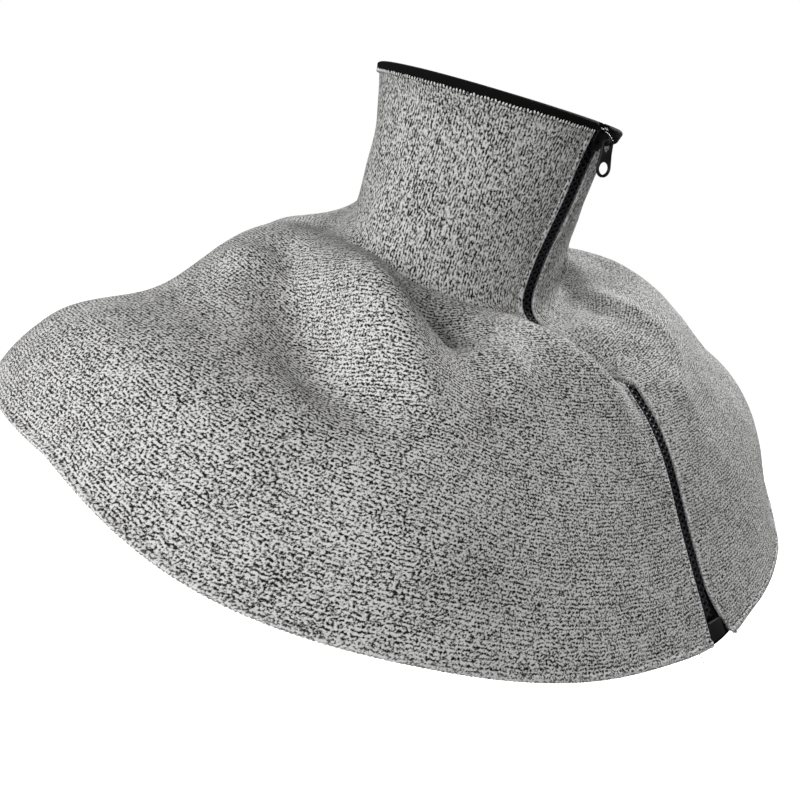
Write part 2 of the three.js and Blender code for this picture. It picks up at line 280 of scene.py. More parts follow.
@dataclass(frozen=True)
class MelangeKnit:
    """Light grey knit flecked with dark yarn: the flecks lie along the courses on the cape and
    stand upright on the collar, where they are softer. Lengths are in metres."""

    course: float = 0.00165
    collar_wales: float = 262.0
    light: Colour = (0.72, 0.715, 0.705, 1.0)
    dark: Colour = (0.010, 0.010, 0.011, 1.0)
    fleck: float = 900.0
    lying: Triple = (1.0, 1.0, 1.5)
    standing: Triple = (1.1, 1.1, 0.68)
    row_pull: float = 0.065
    wander: float = 1.6
    wander_grain: float = 120.0
    cloud_grain: float = 45.0
    cloud_pull: float = 0.06
    ply_grain: float = 1900.0
    tone_base: float = 0.78
    tone_cloud: float = 0.2
    tone_ply: float = 0.24
    collar_ends: float = 0.130
    collar_full: float = 0.085
    fleck_low: float = 0.35
    fleck_high: float = 0.62
    collar_soft: float = 0.2
    collar_dim: float = 0.12
    edge_width: float = 0.0022
    # Strength of the painted highlight: lighter tone along the turned edges beside the slit and
    # at the hem
    edge_light: float = 0.25
    relief: float = 0.0006

    def _flecks(self, kit: ShaderKit, place: Sock, stretch: Triple, rows: Sock) -> Sock:
        """Fine flecks drawn towards the valleys of the rows.

        Args:
            kit: The knit's tree.
            place: Object coordinates.
            stretch: How the flecks are drawn out, by axis.
            rows: Row coordinate, one unit to a row.

        Returns:
            Values about 0.5, low in dark flecks.
        """
        settings = {"operation": "MULTIPLY"}
        drawn = kit.node("ShaderNodeVectorMath", settings, {0: place, 1: stretch})
        valleys = kit.math("COSINE", rows * TURN) * self.row_pull
        return kit.grain(drawn, self.fleck, 1.0, 0.6) + valleys

    def material(
        self, rings: Sequence[tuple[float, float]], widest: float, length: float
    ) -> bpy.types.Material:
        """Builds the finish.

        Args:
            rings: Share of the length down the knit, and the ring there as a share of the widest.
            widest: Longest ring, in metres.
            length: Length down the knit, in metres.

        Returns:
            The knit material.
        """
        kit = ShaderKit("melange_knit")
        share, down = kit.weave()
        place = kit.place()
        wander = (kit.grain(place, self.wander_grain, 2.0) - 0.5) * self.wander
        collar = kit.ease(down, self.collar_ends, self.collar_full)
        lying = self._flecks(kit, place, self.lying, down / self.course + wander)
        wales = share * self.collar_wales + wander
        standing = self._flecks(kit, place, self.standing, wales)
        flecks = lying + (standing - lying) * collar
        middle = (self.fleck_low + self.fleck_high) / 2
        flecks = (flecks - middle) * (1.0 - collar * self.collar_soft) + middle
        cloud = kit.grain(place, self.cloud_grain, 2.0)
        plies = kit.grain(place, self.ply_grain, 1.0)
        flecks = flecks + (cloud - 0.5) * self.cloud_pull
        yarn = kit.ease(flecks, self.fleck_low, self.fleck_high)
        shade = self.tone_base + cloud * self.tone_cloud + plies * self.tone_ply
        tone = yarn * shade * (1.0 - collar * self.collar_dim)
        ring = kit.node("ShaderNodeValToRGB", {"stops": rings}, {0: down / length})
        side = kit.math("MINIMUM", share, 1.0 - share) * ring * widest
        # Painted highlight: the tone is raised within edge_width of the slit edges and the hem,
        # as light on the turned edge
        beside_slit = 1.0 - side / self.edge_width
        above_hem = 1.0 - (length - down) / self.edge_width
        edge = kit.math("MAXIMUM", kit.math("MAXIMUM", beside_slit, above_hem), 0.0)
        tone = kit.math("MINIMUM", tone + edge * self.edge_light, 1.0)
        colour = kit.mix(tone, self.dark, self.light)
        normal = kit.bump(yarn * 0.75 + plies * 0.25, 0.5, self.relief)
        return kit.finish(
            Base_Color=colour,
            Roughness=0.92,
            Normal=normal,
            Sheen_Weight=0.06,
            Specular_IOR_Level=0.15,
        )


@dataclass(frozen=True)
class WovenTape:
    """Black woven tape with fine ribs across it, read along its own length."""

    name: str
    colour: Colour = (0.0028, 0.0028, 0.0034, 1.0)
    worn: Colour = (0.011, 0.0105, 0.0125, 1.0)
    rib: float = 0.0007
    roughness: float = 0.9
    rib_share: float = 0.3
    pick_share: float = 0.2
    pick_shear: float = 0.8
    fuzz_grain: float = 900.0
    patch_grain: float = 60.0
    weave_tone: float = 0.45
    patch_tone: float = 0.35
    relief: float = 0.0004

    def material(self) -> bpy.types.Material:
        """Builds the finish.

        Returns:
            The tape material.
        """
        kit = ShaderKit(self.name)
        along, across = kit.weave()
        ribs = kit.math("SINE", along * (TURN / self.rib))
        picks = kit.math("SINE", across * (TURN / self.rib) + ribs * self.pick_shear)
        weave = ribs * self.rib_share + picks * self.pick_share + 0.5
        place = kit.place()
        fuzz = kit.grain(place, self.fuzz_grain, 2.0)
        patch = kit.grain(place, self.patch_grain, 2.0)
        wear = weave * self.weave_tone + patch * self.patch_tone
        colour = kit.mix(wear, self.colour, self.worn)
        normal = kit.bump(weave * 0.7 + fuzz * 0.3, 0.5, self.relief)
        rough = fuzz * 0.1 + (self.roughness - 0.05)
        return kit.finish(
            Base_Color=colour,
            Roughness=rough,
            Normal=normal,
            Sheen_Weight=0.01,
            Specular_IOR_Level=0.1,
        )


@dataclass(frozen=True)
class CoilPlastic:
    """Black nylon of the coil, with a faint violet cast."""

    colour: Colour = (0.010, 0.009, 0.014, 1.0)
    rubbed: Colour = (0.050, 0.046, 0.060, 1.0)
    roughness: float = 0.5
    fleck_grain: float = 500.0
    patch_grain: float = 90.0
    relief: float = 0.0002

    def material(self) -> bpy.types.Material:
        """Builds the finish.

        Returns:
            The coil material.
        """
        kit = ShaderKit("coil_nylon")
        place = kit.place()
        fleck = kit.grain(place, self.fleck_grain, 2.0)
        patch = kit.grain(place, self.patch_grain, 1.0)
        colour = kit.mix(fleck * patch, self.colour, self.rubbed)
        rough = patch * 0.2 + (self.roughness - 0.1)
        normal = kit.bump(fleck, 0.2, self.relief)
        return kit.finish(
            Base_Color=colour, Roughness=rough, Normal=normal, Specular_IOR_Level=0.25
        )


@dataclass(frozen=True)
class Enamel:
    """Enamelled metal with slight unevenness and rubbed spots."""

    name: str
    colour: Colour = (0.0045, 0.0045, 0.005, 1.0)
    rubbed: Colour = (0.016, 0.016, 0.017, 1.0)
    roughness: float = 0.42
    specular: float = 0.3
    patch_grain: float = 160.0
    peel_grain: float = 1400.0
    rub_low: float = 0.5
    rub_high: float = 0.75
    relief: float = 0.0002

    def material(self) -> bpy.types.Material:
        """Builds the finish.

        Returns:
            The enamel material.
        """
        kit = ShaderKit(self.name)
        place = kit.place()
        patch = kit.grain(place, self.patch_grain, 3.0)
        peel = kit.grain(place, self.peel_grain, 1.0)
        rubs = kit.ease(patch, self.rub_low, self.rub_high)
        colour = kit.mix(rubs, self.colour, self.rubbed)
        rough = patch * 0.25 + (self.roughness - 0.12)
        normal = kit.bump(peel, 0.12, self.relief)
        return kit.finish(
            Base_Color=colour, Roughness=rough, Normal=normal, Specular_IOR_Level=self.specular
        )


@dataclass(frozen=True)
class LoopYarn:
    """Bare yarn of the edge loops: light, with dark plies."""

    name: str = "edge_yarn"
    light: Colour = (0.70, 0.695, 0.68, 1.0)
    dark: Colour = (0.08, 0.08, 0.08, 1.0)
    ply_grain: float = 700.0
    ply_low: float = 0.26
    ply_high: float = 0.5
    relief: float = 0.0003

    def material(self) -> bpy.types.Material:
        """Builds the finish.

        Returns:
            The yarn material.
        """
        kit = ShaderKit(self.name)
        place = kit.place()
        plies = kit.grain(place, self.ply_grain, 1.0)
        tone = kit.ease(plies, self.ply_low, self.ply_high)
        colour = kit.mix(tone, self.dark, self.light)
        normal = kit.bump(plies, 0.4, self.relief)
        return kit.finish(Base_Color=colour, Roughness=0.92, Normal=normal, Sheen_Weight=0.1)


@dataclass(frozen=True)
class Section:
    """One ring from rim to hem: reach and height at the front, back and sides."""

    name: str
    front: float
    back: float
    side: float
    front_z: float
    side_z: float
    back_z: float
    lean: float
    sag: float
    square: float


@dataclass(frozen=True)
class Fold:
    """A ridge (height above zero) or hollow from one place on the body to another. Folds fade
    out beside the zip, except one that runs along it."""

    name: str
    angle: float
    section: float
    to_angle: float
    to_section: float
    width: float
    height: float
    along_zip: bool = False


SECTIONS = (
    Section("rim", 87, 45, 68, 60, 70, 80, 4, 0, 2),
    Section("collar", 77, 49, 63, 30, 51, 64, 2, 0, 2),
    Section("root", 60, 51, 72, -34, -8, 36, 0, 0, 2),
    Section("flare", 93, 75, 93, -44, -10, 2, 0, 0, 2),
    Section("yoke", 127, 98, 135, -56, -17, -25, 0, 0, 2.1),
    Section("shoulder", 152, 119, 178, -89, -42, -60, 0, 1, 2.15),
    Section("upper_arm", 173, 138, 223, -129, -54, -90, 0, 5, 2.25),
    Section("hem", 197, 151, 256, -173, -93, -112, 0, 11, 2.25),
)

FOLDS = (
    Fold("shoulder_ridge", 78, 3.45, 45, 5.05, 15, 13.5),
    Fold("collarbone_hollow", 62, 3.2, 41, 4, 15, -16),
    Fold("arm_hollow", 95, 3.95, 59, 5.2, 16, -15.5),
    Fold("neck_hump", 108, 4.3, 92, 4.1, 12, 4),
    Fold("neck_crease", 98, 3.7, 86, 4.1, 8, -4.5),
    Fold("nape_corner", 100, 2.62, 172, 2.62, 17, -15),
    Fold("nape_waist", 112, 1.5, 170, 1.5, 22, -5),
    Fold("right_arm_end", 106, 6.7, 152, 6.9, 34, 9),
    Fold("chest_ridge", 37, 3.9, 33, 4.6, 11, 6),
    Fold("chest_hollow", 47, 3.9, 43, 4.5, 11, -4),
    Fold("chest_corner", 45, 5.2, 41, 6.75, 32, 6),
    Fold("zip_sink", 0, 2.7, 0, 4.15, 19, -16, along_zip=True),
    Fold("zip_crest", 32, 2.9, 7, 4.55, 14, 6.5),
    Fold("left_collar_hollow", -43, 0.4, -37, 1.1, 13, -6.4),
    Fold("left_collar_ridge", -46, 1.7, -32, 1.78, 11, 4.4),
    Fold("left_root_hollow", -40, 2.7, -33, 3.1, 14, -4),
    Fold("left_ridge", -48, 2.85, -22, 4.15, 9, 6),
    Fold("left_zip_hollow", -15, 3.5, -9, 4.0, 10, -3),
    Fold("left_zip_ridge", -16, 4.2, -12, 4.8, 12, 3),
    Fold("left_shoulder_ridge", -94, 3.6, -56, 5.1, 20, 6),
    Fold("left_arm_hollow", -106, 4.7, -72, 5.6, 24, -6),
    Fold("left_hem_pull", -26, 6.85, -62, 7.0, 28, -9),
    Fold("back_ridge", 148, 3.3, 162, 4.9, 20, 5),
    Fold("back_hollow", 200, 3.2, 190, 4.9, 22, -5),
)


@dataclass
class GuardForm:
    """Smooth rings and folds that every soft piece is laid on, in millimetres. Angles run from
    the front towards negative x, sections count down from the rim."""

    sections: tuple[Section, ...] = SECTIONS
    folds: tuple[Fold, ...] = FOLDS
    fold_steps: int = 16
    fold_ends: float = 0.1
    sag_peak: float = 4.2
    calm_from: float = 3.0
    calm_to: float = 26.0
    slit_half: float = 5.0
    part_from: float = 6.4
    part_left: float = 15.0
    corner_from: float = 6.0
    corner_reach: float = 0.12
    corner_right: float = 0.058
    corner_left: float = 0.1
    wall: float = 2.2
    columns: dict[str, np.ndarray] = field(default_factory=dict)
    paths: list[np.ndarray] = field(default_factory=list)

    def __post_init__(self) -> None:
        """Works out the padded columns and the folds' paths."""
        for column in fields(Section):
            if column.name == "name":
                continue
            values = [float(getattr(section, column.name)) for section in self.sections]
            before = 2 * values[0] - values[1]
            after = 2 * values[-1] - values[-2]
            self.columns[column.name] = np.array([before, *values, after])
        for fold in self.folds:
            t = np.linspace(0.0, 1.0, self.fold_steps + 1)
            angle = np.radians(fold.angle + (fold.to_angle - fold.angle) * t)
            section = fold.section + (fold.to_section - fold.section) * t
            self.paths.append(self.smooth(angle, section))

    @property
    def last(self) -> float:
        """Section number of the hem."""
        return float(len(self.sections) - 1)

    def column(self, name: str, section: np.ndarray) -> np.ndarray:
        """One column of the section table.

        Args:
            name: Column name.
            section: Fractional section numbers.

        Returns:
            Smooth values between the sections.
        """
        low = np.clip(np.floor(section).astype(int), 0, len(self.sections) - 2)
        a, b, c, d = (self.columns[name][low + i] for i in range(4))
        t = section - low
        bend = (2 * a - 5 * b + 4 * c - d) * t * t
        twist = (3 * b - a - 3 * c + d) * t ** 3
        return b + 0.5 * ((c - a) * t + bend + twist)

    def smooth(self, angle: np.ndarray, section: np.ndarray) -> np.ndarray:
        """Points on the body before folds.

        Args:
            angle: Angles in radians.
            section: Section numbers.

        Returns:
            Points, one row each.
        """
        front, back = self.column("front", section), self.column("back", section)
        front_z, back_z = self.column("front_z", section), self.column("back_z", section)
        side_z = self.column("side_z", section)
        power = 2.0 / self.column("square", section)
        c, s = np.cos(angle), np.sin(angle)
        along = np.sign(c) * np.abs(c) ** power
        across = np.sign(s) * np.abs(s) ** power
        x = -self.column("side", section) * across
        y = -(front + back) / 2 * along - (front - back) / 2
        level = side_z + self.column("lean", section) * s
        middle = (front_z + back_z) / 2
        rise = level + (front_z - back_z) / 2 * c + (middle - side_z) * c * c
        z = rise - self.column("sag", section) * self.sag_peak * np.maximum(c, 0) * s ** 6
        return np.stack([x, y, z], axis=-1)

    def outward(self, angle: np.ndarray, section: np.ndarray) -> np.ndarray:
        """Outward directions of the smooth body.

        Args:
            angle: Angles in radians.
            section: Section numbers.

        Returns:
            Directions of length 1, one row each.
        """
        turn, drop = 0.01, 0.02
        around = self.smooth(angle + turn, section) - self.smooth(angle - turn, section)
        down = self.smooth(angle, section + drop) - self.smooth(angle, section - drop)
        out = np.cross(around, down)
        return out / np.linalg.norm(out, axis=-1, keepdims=True)

    def lift(self, points: np.ndarray) -> np.ndarray:
        """How far the folds raise the knit.

        Args:
            points: Points on the smooth body.

        Returns:
            Millimetres along the outward direction.
        """
        beside = np.abs(points[:, 0]) - self.calm_from
        share = beside / (self.calm_to - self.calm_from)
        calm = np.where(points[:, 1] < 0, smooth_step(share), 1.0)
        total = np.zeros(len(points))
        for fold, path in zip(self.folds, self.paths):
            nearest = np.full(len(points), np.inf)
            along = np.zeros(len(points))
            for i in range(self.fold_steps):
                span = path[i + 1] - path[i]
                t = np.clip((points - path[i]) @ span / (span @ span), 0, 1)
                gap = np.linalg.norm(points - path[i] - t[:, None] * span, axis=1)
                closer = gap < nearest
                nearest = np.where(closer, gap, nearest)
                along = np.where(closer, (i + t) / self.fold_steps, along)
            inset = self.fold_ends + (1.0 - 2.0 * self.fold_ends) * along
            taper = np.sin(math.pi * inset)
            hold = 1.0 if fold.along_zip else calm
            total += hold * fold.height * taper * np.exp(-((nearest / fold.width) ** 2))
        return total

    def points(
        self, angle: np.ndarray, section: np.ndarray, offset: np.ndarray | float
    ) -> np.ndarray:
        """Points on the folded body.

        Args:
            angle: Angles in radians.
            section: Section numbers.
            offset: Millimetres out of the knit's face, below zero inwards.

        Returns:
            Points, one row each, in millimetres.
        """
        smooth = self.smooth(angle, section)
        rise = self.lift(smooth) + offset
        return smooth + self.outward(angle, section) * rise[:, None]

    def angle_at(self, distance: np.ndarray | float, section: np.ndarray) -> np.ndarray:
        """Angle where the front lies a distance from the middle plane, below zero on the left."""
        share = np.abs(distance) / self.column("side", section)
        return np.sign(distance) * np.arcsin(share ** (self.column("square", section) / 2))

    def slit_edge(self, side: Side, section: np.ndarray) -> np.ndarray:
        """Distance of a knit edge from the middle plane: the left one turns away at the hem.

        Args:
            side: Which edge.
            section: Section numbers.

        Returns:
            Millimetres, above zero on either side.
        """
        if side is Side.RIGHT:
            return np.full(len(section), self.slit_half)
        share = np.clip((section - self.part_from) / (self.last - self.part_from), 0, 1)
        return self.slit_half + self.part_left * share * share

    def cornered(self, angle: np.ndarray, section: np.ndarray) -> np.ndarray:
        """Lets down the two hem corners beside the zip.

        Args:
            angle: Angles from 0 to a full turn.
            section: Section numbers.

        Returns:
            Section numbers with the corners let down.
        """
        ramp = np.maximum(section - self.corner_from, 0) ** 2
        right = self.corner_right * np.exp(-((angle / self.corner_reach) ** 2))
        left = self.corner_left * np.exp(-(((TURN - angle) / self.corner_reach) ** 2))
        return section + ramp * (right + left)

    def zip_frame(self, section: float) -> Matrix:
        """Frame on the zip line: x to the left, y up the zip, z out of the knit.

        Args:
            section: Section number of its origin.

        Returns:
            The frame, in metres.
        """
        angle, at = np.zeros(1), np.array([section])
        out = Vector(self.outward(angle, at)[0])
        up = out.cross(Vector((1, 0, 0))).normalized()
        frame = turned(up.cross(out), up, out)
        frame.translation = Vector(self.points(angle, at, 0.0)[0]) * MM
        return frame


def smooth_step(share: np.ndarray) -> np.ndarray:
    """Shares eased from 0 to 1 and clipped at both ends."""
    share = np.clip(share, 0.0, 1.0)
    return share * share * (3.0 - 2.0 * share)


def run_along(points: np.ndarray) -> np.ndarray:
    """Length run so far at each point of a line."""
    steps = np.linalg.norm(np.diff(points, axis=0), axis=1)
    return np.concatenate([[0.0], np.cumsum(steps)])


def turned(x: Vector, y: Vector, z: Vector) -> Matrix:
    """The turn whose axes are three given directions."""
    return Matrix((x, y, z)).transposed().to_4x4()


def linked(name: str, data: bpy.types.ID) -> bpy.types.Object:
    """Adds an object to the scene.

    Args:
        name: Name of the object.
        data: Mesh, curve, lamp or camera that it shows.

    Returns:
        The object.
    """
    item = bpy.data.objects.new(name, data)
    bpy.context.scene.collection.objects.link(item)
    return item


def bead(half: Triple) -> bmesh.types.BMesh:
    """Makes an oval bead of a few dozen faces.

    Args:
        half: Half sizes in millimetres.

    Returns:
        The bead, in metres.
    """
    bm = bmesh.new()
    size = Matrix.Diagonal((*(value * MM for value in half), 1.0))
    bmesh.ops.create_uvsphere(bm, u_segments=8, v_segments=5, radius=1.0, matrix=size)
    return bm


def round_edges(bm: bmesh.types.BMesh, radius: float, segments: int) -> None:
    """Rounds every edge of a shape.

    Args:
        bm: The shape.
        radius: Radius in the shape's own unit.
        segments: Faces round each edge.
    """
    bmesh.ops.bevel(
        bm, geom=bm.edges[:], offset=radius, offset_type="OFFSET", segments=segments,
        profile=0.5, affect="EDGES", material=-1, clamp_overlap=True,
    )


def shaped_grid(columns: int, rows: int, place: Place) -> bmesh.types.BMesh:
    """A flat grid moved to where a rule puts each of its corners.

    Args:
        columns: Faces across.
        rows: Faces down.
        place: Gives points in millimetres and weave coordinates for column and row numbers.

    Returns:
        The shaped grid.
    """
    bm = bmesh.new()
    layer = bm.loops.layers.uv.new(WEAVE)
    bmesh.ops.create_grid(bm, x_segments=columns, y_segments=rows, size=1.0)
    flat = np.array([vert.co[:2] for vert in bm.verts])
    column = np.rint((flat[:, 0] + 1) / 2 * columns).astype(int)
    row = np.rint((flat[:, 1] + 1) / 2 * rows).astype(int)
    points, weave = place(column, row)
    bm.verts.index_update()
    for vert, point in zip(bm.verts, points * MM):
        vert.co = point
    for face in bm.faces:
        for loop in face.loops:
            loop[layer].uv = weave[loop.vert.index]
    return bm


def close_tube(bm: bmesh.types.BMesh) -> None:
    """Welds a rolled-up grid along its seam, fills its two ends and turns its faces out.

    Args:
        bm: The grid.
    """
    bmesh.ops.remove_doubles(bm, verts=bm.verts[:], dist=WELD)
    ends = [edge for edge in bm.edges if edge.is_boundary]
    bmesh.ops.holes_fill(bm, edges=ends, sides=0)
    bmesh.ops.recalc_face_normals(bm, faces=bm.faces[:])


def repeated(base: bmesh.types.BMesh, spots: Iterable[Matrix]) -> bmesh.types.BMesh:
    """A small shape repeated at many places, as one joined mesh.

    Args:
        base: The shape; freed here.
        spots: Where each copy goes.

    Returns:
        All the copies.
    """
    shape = bpy.data.meshes.new("repeated_shape")
    base.to_mesh(shape)
    base.free()
    joined = bmesh.new()
    for spot in spots:
        copy = shape.copy()
        copy.transform(spot)
        joined.from_mesh(copy)
        bpy.data.meshes.remove(copy)
    bpy.data.meshes.remove(shape)
    return joined


def add_piece(
    name: str, bm: bmesh.types.BMesh, material: bpy.types.Material
) -> bpy.types.Object:
    """Makes an object of a bmesh, smooth and in one finish.

    Args:
        name: Name of the piece.
        bm: Its shape in metres; freed here.
        material: Its finish.

    Returns:
        The linked object.
    """
    mesh = bpy.data.meshes.new(name)
    bm.to_mesh(mesh)
    bm.free()
    mesh.materials.append(material)
    mesh.shade_smooth()
    LOG.info("%s: %d faces", name, len(mesh.polygons))
    return linked(name, mesh)


def dress(piece: bpy.types.Object, body: Body, slot: Slot, *nodes: str) -> None:
    """Ties a piece to its body and hides the solids that it stands for.

    Args:
        piece: The finished piece.
        body: Body that it moves with.
        slot: Material slot of the record; not used.
        *nodes: Solids that it replaces.
    """
    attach(piece, body.value)
    if nodes:
        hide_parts(*nodes)


def thicken(piece: bpy.types.Object, depth: float, corner: float) -> None:
    """Gives a sheet its wall behind its face and rounds the wall's corners.

    Args:
        piece: The sheet.
        depth: Wall in millimetres.
        corner: Corner radius in millimetres.
    """
    wall = piece.modifiers.new("wall", "SOLIDIFY")
    wall.thickness = depth * MM
    wall.offset = -1.0
    wall.use_even_offset = True
    corners = piece.modifiers.new("corners", "BEVEL")
    corners.width = corner * MM
    corners.segments = 2
    corners.limit_method = "ANGLE"
    corners.angle_limit = SHARP


@dataclass
class KnitBody:
    """Collar and cape in one knit, with the looped edge of its hem. Sizes are in millimetres;
    hem_from, hem_steps and loop_above count sections, and tilts and leans are in degrees."""

    form: GuardForm
    middle_columns: int = 260
    rows: int = 104
    crowding: float = 0.28
    edge_steps: tuple[float, ...] = (0.0, 0.5, 1.1, 1.8, 2.6, 3.6, 5.0, 7.0, 9.5)
    hem_from: float = 0.14
    hem_steps: tuple[float, ...] = (0.10, 0.07, 0.045, 0.025, 0.01, 0.0)
    welt_rise: float = 0.7
    welt_from_edge: float = 1.5
    welt_width: float = 1.3
    groove_depth: float = 0.5
    groove_from_edge: float = 3.9
    groove_width: float = 0.9
    ripple: float = 0.45
    ripple_length: float = 17.0
    ring_stops: int = 24
    corner: float = 0.7
    loop_pitch: float = 2.1
    loop_half: Triple = (1.3, 0.8, 0.7)
    loop_tilts: tuple[float, float] = (8.0, 20.0)
    loop_sunk: float = 0.8
    loop_above: float = 0.008
    edge_line_steps: int = 2400
    edge_line_in: float = 0.6
    thread_from: float = 11.0
    thread_links: int = 3
    thread_half: float = 0.9
    thread_lean: float = 52.0
    thread_curl: float = 5.0
    thread_aside: float = 0.5
    thread_slim: Triple = (0.95, 0.34, 0.38)

    def _sections(self) -> np.ndarray:
        """Rows of the knit, crowded at the hem.

        Returns:
            Section number of each row.
        """
        even_rows = self.rows - len(self.hem_steps) + 1
        even = np.linspace(0.0, self.form.last - self.hem_from, even_rows)
        return np.concatenate([even, self.form.last - np.array(self.hem_steps)])

    def _angles(self, section: np.ndarray) -> np.ndarray:
        """Angle of each column at each row, crowded beside the slit.

        Args:
            section: Section number of each row.

        Returns:
            Rows by columns.
        """
        form = self.form
        edges = (form.slit_edge(side, section) for side in Side)
        right, left = (
            np.stack([form.angle_at(edge + step, section) for step in self.edge_steps], axis=1)
            for edge in edges
        )
        even = np.linspace(0.0, TURN, self.middle_columns + 1)[1:-1]
        share = (even - self.crowding * np.sin(even)) / TURN
        first, last = right[:, -1:], TURN - left[:, -1:]
        middle = first + (last - first) * share[None, :]
        return np.concatenate([right, middle, TURN - left[:, ::-1]], axis=1)

    def build(self) -> bpy.types.Object:
        """Builds the knit wall.

        Returns:
            The knit piece.
        """
        section = self._sections()
        angle = self._angles(section)
        rows, columns = angle.shape
        level = self.form.cornered(angle, np.repeat(section[:, None], columns, axis=1))
        bare = self.form.points(angle.ravel(), level.ravel(), 0.0)
        bare = bare.reshape(rows, columns, 3)
        around = np.linalg.norm(np.diff(bare, axis=1), axis=2)
        arc = np.concatenate([np.zeros((rows, 1)), np.cumsum(around, axis=1)], axis=1)
        drop = np.linalg.norm(np.diff(bare, axis=0), axis=2).mean(axis=1)
        down = np.concatenate([[0.0], np.cumsum(drop)])
        from_slit = np.minimum(arc, arc[:, -1:] - arc)
        from_hem = (down[-1] - down)[:, None]
        welt = self._welt(from_slit) + self._welt(from_hem)
        offset = welt + self._ripples(bare)
        points = self.form.points(angle.ravel(), level.ravel(), offset.ravel())
        below_rim = np.repeat(down[:, None] * MM, columns, axis=1)
        weave = np.stack([arc / arc[:, -1:], below_rim], axis=-1).reshape(-1, 2)

        widest = float(arc[:, -1].max() * MM)
        length = float(down[-1] * MM)
        picks = np.linspace(0, rows - 1, self.ring_stops).astype(int)
        rings = [(float(down[i] / down[-1]), float(arc[i, -1] * MM / widest)) for i in picks]

        def place(column: np.ndarray, row: np.ndarray) -> tuple[np.ndarray, np.ndarray]:
            """Point and weave coordinate of each corner."""
            index = row * columns + column
            return points[index], weave[index]

        material = MelangeKnit().material(rings, widest, length)
        piece = add_piece("knit_cape", shaped_grid(columns - 1, rows - 1, place), material)
        thicken(piece, self.form.wall, self.corner)
        dress(piece, Body.GUARD, Slot.KNIT, "knit_body")
        return piece

    def _welt(self, distance: np.ndarray) -> np.ndarray:
        """Rise of the turned edge, with the groove beside it.

        Args:
            distance: Millimetres from the edge.

        Returns:
            Millimetres out of the knit.
        """
        from_welt = (distance - self.welt_from_edge) / self.welt_width
        from_groove = (distance - self.groove_from_edge) / self.groove_width
        welt = self.welt_rise * np.exp(-(from_welt ** 2))
        return welt - self.groove_depth * np.exp(-(from_groove ** 2))

    def _ripples(self, points: np.ndarray) -> np.ndarray:
        """Faint unevenness of the cloth.

        Args:
            points: Points on the folded body, by row and column.

        Returns:
            Millimetres out of the knit.
        """
        flat = points.reshape(-1, 3) / self.ripple_length
        values = [noise.noise(Vector(point)) for point in flat]
        return self.ripple * np.array(values).reshape(points.shape[:2])

    def _hem_line(self) -> tuple[np.ndarray, np.ndarray]:
        """Evenly spaced places along the hem.

        Returns:
            Points and directions along the hem.
        """
        form, pitch = self.form, self.loop_pitch
        at = np.array([form.last - self.loop_above])
        right, left = (
            float(form.angle_at(form.slit_edge(side, at) + self.edge_line_in, at)[0])
            for side in Side
        )
        angle = np.linspace(right, TURN - left, self.edge_line_steps)
        level = form.cornered(angle, np.full(len(angle), at[0]))
        line = form.points(angle, level, -self.loop_sunk)
        run = run_along(line)
        stations = np.arange(pitch, run[-1] - pitch, pitch)
        points = np.stack([np.interp(stations, run, line[:, i]) for i in range(3)], axis=1)
        ahead = np.gradient(points, axis=0)
        return points, ahead / np.linalg.norm(ahead, axis=1, keepdims=True)

    def hem_loops(self, material: bpy.types.Material) -> bpy.types.Object:
        """Builds the chain of loops along the hem, with the loose end of its yarn.

        Args:
            material: Finish of the yarn.

        Returns:
            The row of loops.
        """
        points, ahead = self._hem_line()
        spots = []
        for index, (point, along) in enumerate(zip(points, ahead)):
            tilt = Matrix.Rotation(math.radians(self.loop_tilts[index % 2]), 4, "Y")
            spots.append(self._yarn_spot(Vector(point), Vector(along)) @ tilt)
        spots += self._loose_end(points)
        piece = add_piece("hem_loops", repeated(bead(self.loop_half), spots), material)
        dress(piece, Body.GUARD, Slot.KNIT)
        return piece

    @staticmethod
    def _yarn_spot(point: Vector, along: Vector) -> Matrix:
        """Place of a bead of yarn that lies along a direction, level across it."""
        across = UP.cross(along).normalized()
        return Matrix.Translation(point * MM) @ turned(along, across, along.cross(across))

    def _loose_end(self, points: np.ndarray) -> list[Matrix]:
        """Short links of a thread that hangs from the hem beside the zip.

        Args:
            points: Places of the hem's loops, in millimetres.

        Returns:
            A place for each link.
        """
        run = run_along(points)[1:]
        root = Vector(points[int(np.searchsorted(run, self.thread_from))])
        slim = Matrix.Diagonal((*self.thread_slim, 1.0))
        links = []
        for index in range(self.thread_links):
            lean = math.radians(self.thread_lean + self.thread_curl * index)
            aside = self.thread_aside * math.cos(lean)
            ahead = Vector((aside, -math.cos(lean), -math.sin(lean))).normalized()
            links.append(self._yarn_spot(root + ahead * self.thread_half, ahead) @ slim)
            root = root + ahead * (2.0 * self.thread_half)
        return links


